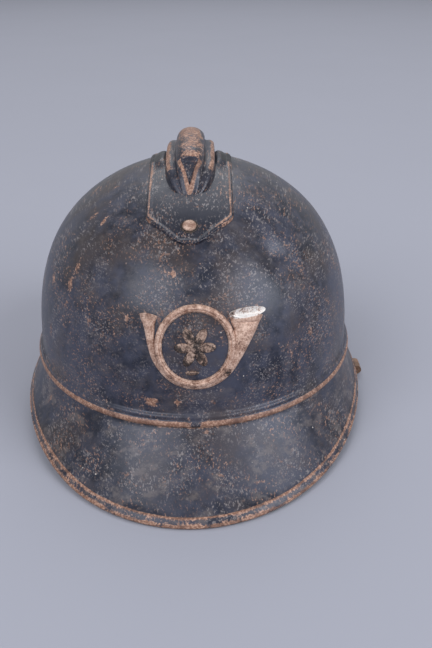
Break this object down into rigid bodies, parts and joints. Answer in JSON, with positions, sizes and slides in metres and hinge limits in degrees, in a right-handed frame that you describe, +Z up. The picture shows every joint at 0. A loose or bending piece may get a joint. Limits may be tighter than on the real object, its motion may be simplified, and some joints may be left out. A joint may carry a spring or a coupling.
{
  "type": "infantry helmet",
  "caption": "Pressed steel combat helmet with crest, riveted visor and neck guard, horn badge, leather liner and strap rings.",
  "frame": {"origin": "on the surface the helmet stands on, under the centre of the bowl's oval, in the middle of the head opening", "axes": "-Y is the front (the visor), +X is the wearer's left, +Z is up to the crest"},
  "size_m": [0.2136, 0.2965, 0.1602],
  "materials": {
    "shell_paint": "worn matt",
    "rivets": "worn",
    "badge_metal": "worn",
    "tin": "dull",
    "spacer_metal": "dull",
    "felt": "matt",
    "liner_leather": "satin",
    "lace": "matt",
    "fittings": "worn",
    "strap_leather": "worn"
  },
  "bodies": {
    "helmet": {"bowl": "shell_paint", "visor": "shell_paint", "neck_guard": "shell_paint", "comb": "shell_paint", "comb_rivets": "rivets", "side_rivets": "rivets", "badge": "badge_metal", "badge_prongs": "tin", "spacer_front": "spacer_metal", "spacer_left": "spacer_metal", "spacer_rear": "spacer_metal", "spacer_right": "spacer_metal", "felt_band": "felt", "liner_crown": "liner_leather", "crown_lace": "lace", "liner_tab_front_left": "tin", "liner_tab_front_right": "tin", "liner_tab_rear_left": "tin", "liner_tab_rear_right": "tin", "left_strap_bracket": "fittings", "right_strap_bracket": "fittings"},
    "left_ring": {"left_strap_ring": "fittings"},
    "stub": {"strap_stub": "strap_leather"},
    "right_ring": {"right_strap_ring": "fittings"}
  },
  "joints": [
    {"name": "left_ring_swing", "type": "hinge", "parent": "helmet", "child": "left_ring", "pos_m": [0.0976, 0.002, 0.0067], "axis": [0, 1, 0], "range_deg": [-4, 115]},
    {"name": "strap_stub_swing", "type": "hinge", "parent": "left_ring", "child": "stub", "pos_m": [0.10639, 0.002, 0.00434], "axis": [0, 1, 0], "range_deg": [-100, 10]},
    {"name": "right_ring_swing", "type": "hinge", "parent": "helmet", "child": "right_ring", "pos_m": [-0.0976, 0.002, 0.0067], "axis": [0, 1, 0], "range_deg": [-40, 138]}
  ]
}
